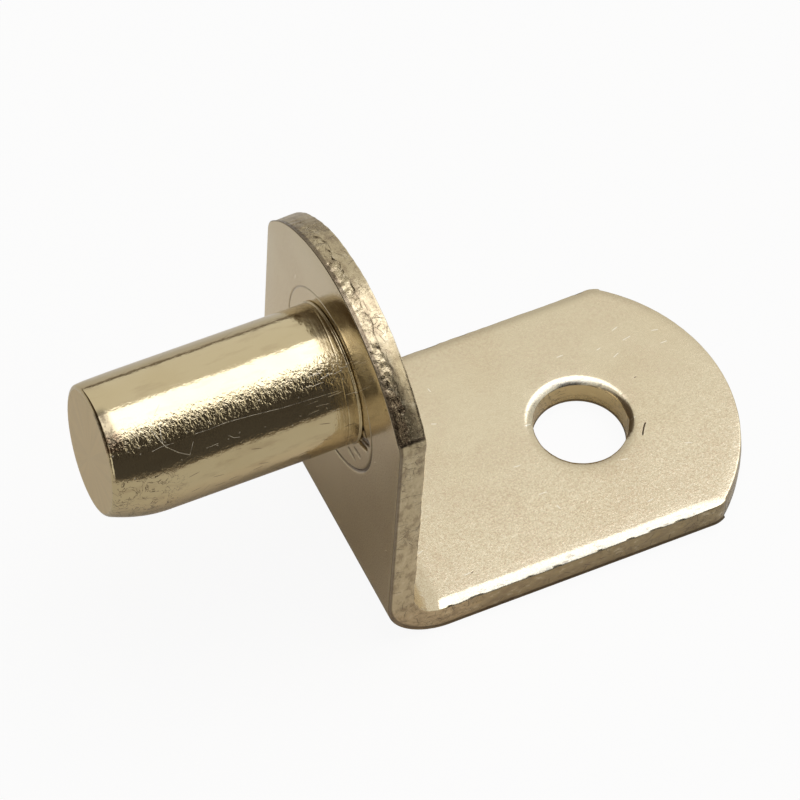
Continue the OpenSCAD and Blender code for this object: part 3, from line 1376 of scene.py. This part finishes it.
    def blank(self) -> bpy.types.Object:
        """The flat blank, pierced and pressed, its outer face at w = 0.

        Returns:
            The blank as an object.
        """
        plan = MeshPlan()
        around = self.outline()
        from_corner = np.hypot(*(around[0] - [self.top_u + self.far_swell_at, self.half_w]).T)
        swell = self.far_swell * np.exp(-((from_corner / self.far_swell_w) ** 2))
        ease = self.roll_share(around[0])
        top, bottom = Wall(*around, self.rim, self.thickness, seed=3, ease=ease, swell=swell).add(plan)
        pierced = self.ring_of(self.hole_x, self.hole_r - self.hole_burr)
        hole_top, hole_bottom = Wall(*pierced, self.pierced, self.thickness, seed=141).add(plan)
        seat, _, seat_run, _ = self.ring_of(self.pin_u, self.tenon_r)
        seat_top = plan.add(np.column_stack([seat, np.full(len(seat), self.thickness)]), run=seat_run)
        seat_bottom = plan.add(np.column_stack([seat, np.zeros(len(seat))]), run=seat_run)
        plan.bridge(seat_top, seat_bottom)

        done = np.concatenate(plan.points)[:, :2]
        loose = self.lattice(done[top], [done[hole_top], done[seat_top]])
        inner = plan.add(np.column_stack([loose, np.full(len(loose), self.thickness)]))
        plan.cap(top, [hole_top, seat_top], inner)

        loose = self.around_pin(loose)
        depth, mark = self.riveted(loose)
        outer = plan.add(np.column_stack([loose, depth]), pressed=mark)
        plan.cap(bottom, [hole_bottom, seat_bottom], outer)
        return plan.make("bracket_strip")

    def fold(self, piece: bpy.types.Object) -> None:
        """Folds the blank by a rule on u, and swells the inside of the bend at its two sides.

        Args:
            piece: The flat blank.
        """
        rule = NodeModifier("fold_strip", {
            "Bend Start": float(self.fold_r * MM),
            "Bend Length": float(self.fold_len * MM),
            "Bend Radius": float(self.fold_r * MM),
            "Underside": float(self.low[2] * MM),
            "Thickness": float(self.thickness * MM),
            "Bulge": float(self.bulge / self.half_w),
        })
        graph, start, radius = rule.graph, rule.input("Bend Start"), rule.input("Bend Radius")
        u, v, w = graph.parts(graph.node("GeometryNodeInputPosition"))
        past = (start - u).most(0.0)
        turned = (past / rule.input("Bend Length")).least(1.0)
        angle = turned * (math.pi / 2)
        rise = (past - rule.input("Bend Length")).most(0.0)
        arm = radius - w
        x = start - arm * angle.sine() + (u - start).most(0.0)
        z = rule.input("Underside") + radius - arm * angle.cosine() + rise
        swell = (angle * 2.0).sine() ** 2.0 * rule.input("Bulge")
        y = v * (1.0 + swell * (w / rule.input("Thickness") - 0.5))
        folded = graph.node("GeometryNodeSetPosition", None,
                            {"Geometry": rule.input("Geometry"), "Position": graph.vector(x, y, z)})
        rule.run(piece, folded, self.finish.make())

    def build(self) -> bpy.types.Object:
        """Builds and dresses the strip, which stands for the CAD bracket.

        Returns:
            The finished piece.
        """
        piece = self.blank()
        self.fold(piece)
        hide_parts("bracket")
        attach(piece, "root")
        LOG.info("%s: %d faces", piece.name, len(piece.data.polygons))
        return piece


# ---- The pin ------------------------------------------------------------------------------


@dataclass
class Pin:
    """The turned pin with its foot, tenon and riveted head. Sizes are in millimetres."""

    radius: float
    length: float
    head_top: float
    sheet: float
    finish: PinPlating
    lead_len: float = 2.6
    lead_drop: float = 0.33
    crown: float = 0.02
    crown_len: float = 0.8
    lead_lean: float = 0.45
    lead_turn: float = math.radians(-86.0)
    end_tilt: tuple[float, float] = (0.062, 0.064)
    tip_r: float = 0.19
    foot_t: float = 0.09
    foot_r: float = 3.23
    neck: tuple[tuple[float, float], ...] = ((0.36, 0.006), (0.48, 0.0016), (0.61, 0.0013), (0.80, 0.0010))
    neck_tilt: float = 0.26
    tenon_r: float = 2.25
    head_r: float = 3.2
    head_rim: float = 0.15
    steps_round: int = 288

    def profile(self) -> np.ndarray:
        """Section of the pin from the middle of the riveted head to the middle of the end face.

        Returns:
            For each point the distance out from the upright, the radius and the share of the
            one-sided lead-in.
        """
        rows = []

        def line(start: tuple[float, float], end: tuple[float, float], count: int) -> None:
            """Adds an even row of points, without the last.

            Args:
                start: Distance out and radius of the first point.
                end: Distance out and radius of the point after the last.
                count: Number of points.
            """
            for part in np.linspace(0, 1, count, endpoint=False):
                out, radius = (first + part * (last - first) for first, last in zip(start, end))
                rows.append((out, radius, 0.0))

        rim_a = -self.sheet - self.head_rim
        for part in np.linspace(0, 1, 16):
            crown = (-self.head_top - rim_a) * (1 - part**2.4)
            dimple = 0.05 * math.exp(-((self.head_r * part / 0.7) ** 2))
            rows.append((rim_a + crown + dimple, self.head_r * part, 0.0))
        line((rim_a, self.head_r), (-self.sheet, self.head_r - 0.02), 3)
        line((-self.sheet, self.head_r - 0.02), (-self.sheet, self.tenon_r), 4)
        line((-self.sheet, self.tenon_r), (0.0, self.tenon_r), 4)
        line((0.0, self.tenon_r), (0.0, self.foot_r - 0.03), 4)
        edge_r = self.foot_t / 2
        for angle in np.linspace(-math.pi / 2, math.pi / 2, 9):
            rows.append((edge_r * (1 + math.sin(angle)), self.foot_r - edge_r * (1 - math.cos(angle)), 0.0))
        for a in np.arange(self.foot_t + 0.02, 1.2, 0.02):
            waist = 0.012 * math.exp(-(((a - self.foot_t - 0.05) / 0.06) ** 2))
            cuts = sum(depth * math.exp(-(((a - at) / 0.022) ** 2)) for at, depth in self.neck)
            rows.append((a, self.radius - waist - cuts, 0.0))
        lead_a = self.length - self.lead_len
        line((1.25, self.radius), (lead_a, self.radius), 40)
        tip_a = self.length - self.tip_r
        for part in np.linspace(0, 1, 40, endpoint=False):
            a = lead_a + part * (tip_a - lead_a)
            into = max((a - self.length + self.crown_len) / (self.crown_len - self.tip_r), 0.0)
            rows.append((a, self.radius - self.crown * into**2, part**2.2 * 0.85))
        for angle in np.linspace(0, math.pi / 2, 12):
            rows.append((tip_a + self.tip_r * math.sin(angle),
                         self.radius - self.crown - self.tip_r * (1 - math.cos(angle)),
                         0.85 + 0.15 * math.sin(angle)))
        inner_r = self.radius - self.crown - self.tip_r
        for part in np.linspace(0, 1, 22)[1:]:
            rows.append((self.length, inner_r * (1 - part), 1.0))
        return np.array(rows)

    def turned(self) -> bpy.types.Object:
        """Turns the section into the pin by a rule on the number of each point.

        Returns:
            The pin as an object.
        """
        rows = self.profile()
        mesh = bpy.data.meshes.new("pin_section")
        mesh.from_pydata((rows * [MM, MM, 1.0]).tolist(), [], [])
        piece = placed("riveted_pin", mesh)
        rule = NodeModifier("turn_pin", {
            "Steps Along": len(rows),
            "Steps Round": self.steps_round,
            "Shank Radius": float(self.radius * MM),
            "Lead Drop": float(self.lead_drop * MM),
            "Lead Lean": float(self.lead_lean * MM),
            "Lead Direction": float(self.lead_turn),
            "End Tilt Y": float(self.end_tilt[0]),
            "End Tilt Z": float(self.end_tilt[1]),
            "Neck Tilt": float(self.neck_tilt * MM),
            "Inner Face": float(self.sheet * MM),
        })
        graph, along, round_it = rule.graph, rule.input("Steps Along"), rule.input("Steps Round")
        grid = graph.node("GeometryNodeMeshGrid", None, {
            "Size X": round_it, "Size Y": along - 1.0, "Vertices X": round_it + 1.0, "Vertices Y": along})
        x, y, _ = graph.parts(graph.node("GeometryNodeInputPosition"))
        number = y + (along - 1.0) / 2.0 + 0.5
        sampled = graph.node("GeometryNodeSampleIndex", {"data_type": "FLOAT_VECTOR", "domain": "POINT"},
                             {"Geometry": rule.input("Geometry"),
                              "Value": graph.node("GeometryNodeInputPosition"),
                              "Index": graph.node("ShaderNodeMath", {"operation": "FLOOR"}, {0: number})})
        out, radius, lead = graph.parts(sampled)
        turn = (x / round_it) * (2 * math.pi)
        flat_end = lead.above(0.999).most((out * -1.0).above(rule.input("Inner Face") * 0.99))
        lean = (turn - rule.input("Lead Direction")).cosine() * rule.input("Lead Lean")
        drop = (rule.input("Lead Drop") + lean).most(0.0)
        reach = radius * (1.0 - lead * drop / rule.input("Shank Radius"))
        across, up = reach * turn.cosine() * -1.0, reach * turn.sine()
        end_tilt = (across * rule.input("End Tilt Y") + up * rule.input("End Tilt Z")) * lead ** 2.0
        neck_band = out.fade(0.10 * MM, 0.34 * MM) * out.fade(2.0 * MM, 0.9 * MM)
        out = out - end_tilt + turn.cosine().most(-0.45) * rule.input("Neck Tilt") * neck_band
        marked = graph.node("GeometryNodeStoreNamedAttribute", {"data_type": "FLOAT", "domain": "POINT"},
                            {"Geometry": grid, "Name": "end_face", "Value": flat_end})
        shell = graph.node("GeometryNodeSetPosition", None,
                           {"Geometry": marked, "Position": graph.vector(out * -1.0, across, up)})
        joined = graph.node("GeometryNodeMergeByDistance", None, {"Geometry": shell, "Distance": 1e-7})
        smooth = graph.node("GeometryNodeSetShadeSmooth", None, {"Geometry": joined, "Shade Smooth": True})
        rule.run(piece, smooth, self.finish.make())
        return piece

    def build(self) -> bpy.types.Object:
        """Builds and dresses the pin, which stands for the CAD pin.

        Returns:
            The finished piece.
        """
        piece = self.turned()
        face_outwards(piece.data)
        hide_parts("pin")
        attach(piece, "root")
        LOG.info("%s: %d faces", piece.name, len(piece.data.polygons))
        return piece


# ---- The studio ---------------------------------------------------------------------------


WHITE: Colour = (1.0, 1.0, 1.0)
BLACK: Colour = (0.0, 0.0, 0.0)


class Seen(Enum):
    """Kinds of ray that see the white background."""

    CAMERA = "Is Camera Ray"
    GLOSSY = "Is Glossy Ray"
    TRANSMISSION = "Is Transmission Ray"


@dataclass(frozen=True)
class Card:
    """A card that bends round the object. Angles are in degrees, azimuth from -Y towards +X."""

    name: str
    azimuths: tuple[float, float]
    elevations: tuple[float, float]
    grey: Colour
    distance: float = 0.6


@dataclass(frozen=True)
class Softbox:
    """A glowing panel that faces the object. Lengths are in metres."""

    name: str
    towards: tuple[float, float, float]
    size: tuple[float, float]
    radiance: float
    colour: Colour = WHITE
    edge_fade: tuple[float, float] = (0.0, 0.0)
    distance: float = 0.6


@dataclass
class Studio:
    """Floor, backdrop, lamps and camera. Lengths are in metres and angles in degrees."""

    floor_z: float
    target: tuple[float, float, float] = (0.00332, -0.00026, -0.00354)
    azimuth: float = -28.78
    elevation: float = 54.15
    roll: float = 4.28
    distance: float = 0.2364
    lens: float = 245.46
    floor_size: float = 4.0
    # Floor colour round the object: a painted warm bounce.
    floor_painted_bounce: Colour = (0.88, 0.79, 0.65)
    floor_near: Colour = (0.84, 0.80, 0.70)
    # Floor colour far from the object: a painted dark surround.
    floor_painted_dark_far: Colour = (0.28, 0.22, 0.16)
    light_tint: Colour = (0.95, 0.98, 1.0)
    cards: tuple[Card, ...] = (
        Card("front_card", (-25, 37), (-1, 68), (0.26, 0.25, 0.235)),
        Card("left_card", (-172, -60), (1, 62), (0.30, 0.24, 0.17), 0.62),
        Card("horizon_card", (120, 205), (-1, 1.3), (0.37, 0.30, 0.21), 0.7),
    )
    softboxes: tuple[Softbox, ...] = (
        Softbox("overhead", (0.286, 0.02, 0.958), (0.60, 0.535), 2.85, (0.97, 1.0, 1.14), (0.10, 0.015)),
        Softbox("key", (0.56, -0.46, 0.69), (0.24, 0.30), 1.5),
    )

    def seen(self, graph: Graph, weights: dict[Seen, float]) -> Wire:
        """How much of the plain white a ray sees.

        Args:
            graph: Graph of the material or the world.
            weights: How much each kind of ray sees.

        Returns:
            The share of the white.
        """
        first = graph.node("ShaderNodeLightPath", None, None, Seen.CAMERA.value)
        total = first * weights[Seen.CAMERA]
        for kind in (Seen.GLOSSY, Seen.TRANSMISSION):
            total = total.most(graph.also(first, kind.value) * weights[kind])
        return total

    def floor(self) -> None:
        """The pale floor that the flange lies on, with a painted warm bounce round the object and a painted
        dark surround far from it, which the metal reflects.
        """
        half = self.floor_size / 2
        mesh = bpy.data.meshes.new("floor")
        corners = [(-half, -half), (half, -half), (half, half), (-half, half)]
        mesh.from_pydata([(x, y, self.floor_z) for x, y in corners], [], [(0, 1, 2, 3)])
        floor = placed("floor", mesh)
        material, graph = empty_material("pale_floor")
        place = graph.node("ShaderNodeTexCoord", None, None, "Object")
        away = graph.node("ShaderNodeVectorMath", {"operation": "LENGTH"}, {0: place}, "Value")
        # Painted warm bounce round the object, then a painted dark floor far off; the metal sees them in its
        # reflections.
        near = graph.blend(away.fade(0.013, 0.022), rgba(self.floor_painted_bounce), rgba(self.floor_near))
        colour = near.tinted(away.fade(0.12, 0.18), self.floor_painted_dark_far)
        own = graph.node("ShaderNodeBsdfPrincipled", None,
                         {"Base Color": colour, "Roughness": 1.0, "Specular IOR Level": 0.0})
        white = graph.node("ShaderNodeEmission", None, {"Color": rgba(WHITE), "Strength": 1.0})
        share = self.seen(graph, {Seen.CAMERA: 0.93, Seen.GLOSSY: 0.04, Seen.TRANSMISSION: 0.93})
        mixed = graph.node("ShaderNodeMixShader", None, {0: share, 1: own, 2: white})
        graph.node("ShaderNodeOutputMaterial", None, {"Surface": mixed})
        mesh.materials.append(material)

    def world(self) -> None:
        """A white surround, dimmer as light than as a background."""
        world = bpy.data.worlds.new("surround")
        world.use_nodes = True
        graph = Graph(world.node_tree)
        share = self.seen(graph, {Seen.CAMERA: 1.0, Seen.GLOSSY: 0.82, Seen.TRANSMISSION: 1.0})
        dim = graph.node("ShaderNodeBackground", None, {"Color": rgba(self.light_tint), "Strength": 0.34})
        white = graph.node("ShaderNodeBackground", None, {"Color": rgba(WHITE), "Strength": 1.0})
        mixed = graph.node("ShaderNodeMixShader", None, {0: share, 1: dim, 2: white})
        graph.node("ShaderNodeOutputWorld", None, {"Surface": mixed})
        bpy.context.scene.world = world

    def direction(self, azimuth: float, elevation: float) -> Vector:
        """Unit vector from the object towards a place in the studio."""
        a, e = math.radians(azimuth), math.radians(elevation)
        return Vector((math.sin(a) * math.cos(e), -math.cos(a) * math.cos(e), math.sin(e)))

    def sheet(self, name: str, places: list[Vector], columns: int) -> Graph:
        """A bent sheet that the camera doesn't see, with an empty material.

        Args:
            name: Name of the sheet.
            places: Its corners, row by row.
            columns: Number of corners in a row.

        Returns:
            The material's graph.
        """
        rows = len(places) // columns
        faces = [(r * columns + c, r * columns + c + 1, (r + 1) * columns + c + 1, (r + 1) * columns + c)
                 for r in range(rows - 1) for c in range(columns - 1)]
        mesh = bpy.data.meshes.new(name)
        mesh.from_pydata([tuple(place) for place in places], [], faces)
        piece = placed(name, mesh)
        piece.visible_camera = False
        material, graph = empty_material(name + "_skin")
        mesh.materials.append(material)
        return graph

    def hang_softbox(self, box: Softbox) -> None:
        """Adds one softbox, which fades towards its front and back edges.

        Args:
            box: The softbox.
        """
        towards = Vector(box.towards).normalized()
        across = Vector((0.0, 1.0, 0.0)).cross(towards).normalized()
        back = towards.cross(across)
        middle = towards * box.distance
        places = [middle + across * (i * box.size[0] / 2) + back * (j * box.size[1] / 2)
                  for j in (-1, 1) for i in (-1, 1)]
        graph = self.sheet(box.name, places, 2)
        place = graph.node("ShaderNodeTexCoord", None, None, "Object")
        depth = graph.node("ShaderNodeVectorMath", {"operation": "DOT_PRODUCT"},
                           {0: place, 1: tuple(back)}, "Value")
        half, (front_fade, back_fade) = box.size[1] / 2, box.edge_fade
        glow = depth.fade(-half - 1e-4, -half + front_fade) * depth.fade(half + 1e-4, half - back_fade)
        colour = graph.blend(glow, rgba(BLACK), rgba(box.colour))
        shader = graph.node("ShaderNodeBsdfPrincipled", None,
                            {"Base Color": rgba(BLACK), "Roughness": 1.0, "Specular IOR Level": 0.0,
                             "Emission Color": colour, "Emission Strength": box.radiance})
        graph.node("ShaderNodeOutputMaterial", None, {"Surface": shader})

    def hang_card(self, card: Card) -> None:
        """Adds one card, which gives round metal a dark band.

        Args:
            card: The card.
        """
        rows, columns = 9, 17
        places = [self.direction(azimuth, elevation) * card.distance
                  for elevation in np.linspace(*card.elevations, rows)
                  for azimuth in np.linspace(*card.azimuths, columns)]
        graph = self.sheet(card.name, places, columns)
        felt = graph.node("ShaderNodeBsdfDiffuse", None, {"Color": rgba(card.grey)})
        graph.node("ShaderNodeOutputMaterial", None, {"Surface": felt})

    def camera(self) -> None:
        """The camera, a long lens looking down on the pin's side of the part."""
        data = bpy.data.cameras.new("camera")
        data.lens, data.sensor_width = self.lens, 36.0
        data.clip_start, data.clip_end = 0.01, 20.0
        camera = placed("camera", data)
        back = self.direction(self.azimuth, self.elevation)
        camera.location = Vector(self.target) + back * self.distance
        camera.rotation_mode = "QUATERNION"
        turn = Quaternion((0.0, 0.0, 1.0), math.radians(self.roll))
        camera.rotation_quaternion = (-back).to_track_quat("-Z", "Y") @ turn
        bpy.context.scene.camera = camera

    def build(self) -> None:
        """Sets up the whole studio."""
        self.floor()
        self.world()
        for box in self.softboxes:
            self.hang_softbox(box)
        for card in self.cards:
            self.hang_card(card)
        self.camera()
        bpy.context.scene.view_settings.view_transform = "Standard"
        LOG.info("studio: floor at %.4f m", self.floor_z)


# ---- Putting it together ------------------------------------------------------------------


def mount(name: str) -> dict:
    """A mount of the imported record, by name."""
    return next(row for row in frame["record"]["mounts"] if row["name"] == name)


def main() -> None:
    """Builds the bracket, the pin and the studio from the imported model's sizes."""
    logging.basicConfig(level=logging.INFO, format="%(name)s %(message)s")
    low, high = (np.array(corner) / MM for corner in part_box("bracket"))
    pin_low, pin_high = (np.array(corner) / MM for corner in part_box("pin"))
    hole, shelf, shank = mount("screw_hole"), mount("shelf_face"), mount("pin")
    sheet = shelf["pos_m"][2] / MM - low[2]
    Bracket(
        low=low, high=high, thickness=sheet, hole_x=hole["pos_m"][0] / MM, hole_r=hole["dims"]["r_mm"],
        finish=BracketPlating("satin_plating", colour=(0.69, 0.59, 0.393), tarnish=(0.65, 0.54, 0.343)),
    ).build()
    Pin(
        radius=shank["dims"]["r_mm"], length=-pin_low[0], head_top=pin_high[0], sheet=sheet,
        finish=PinPlating("bright_plating", colour=(0.61, 0.505, 0.30), tarnish=(0.56, 0.45, 0.25)),
    ).build()
    Studio(floor_z=low[2] * MM - 2e-5).build()


if __name__ == "__main__":
    main()
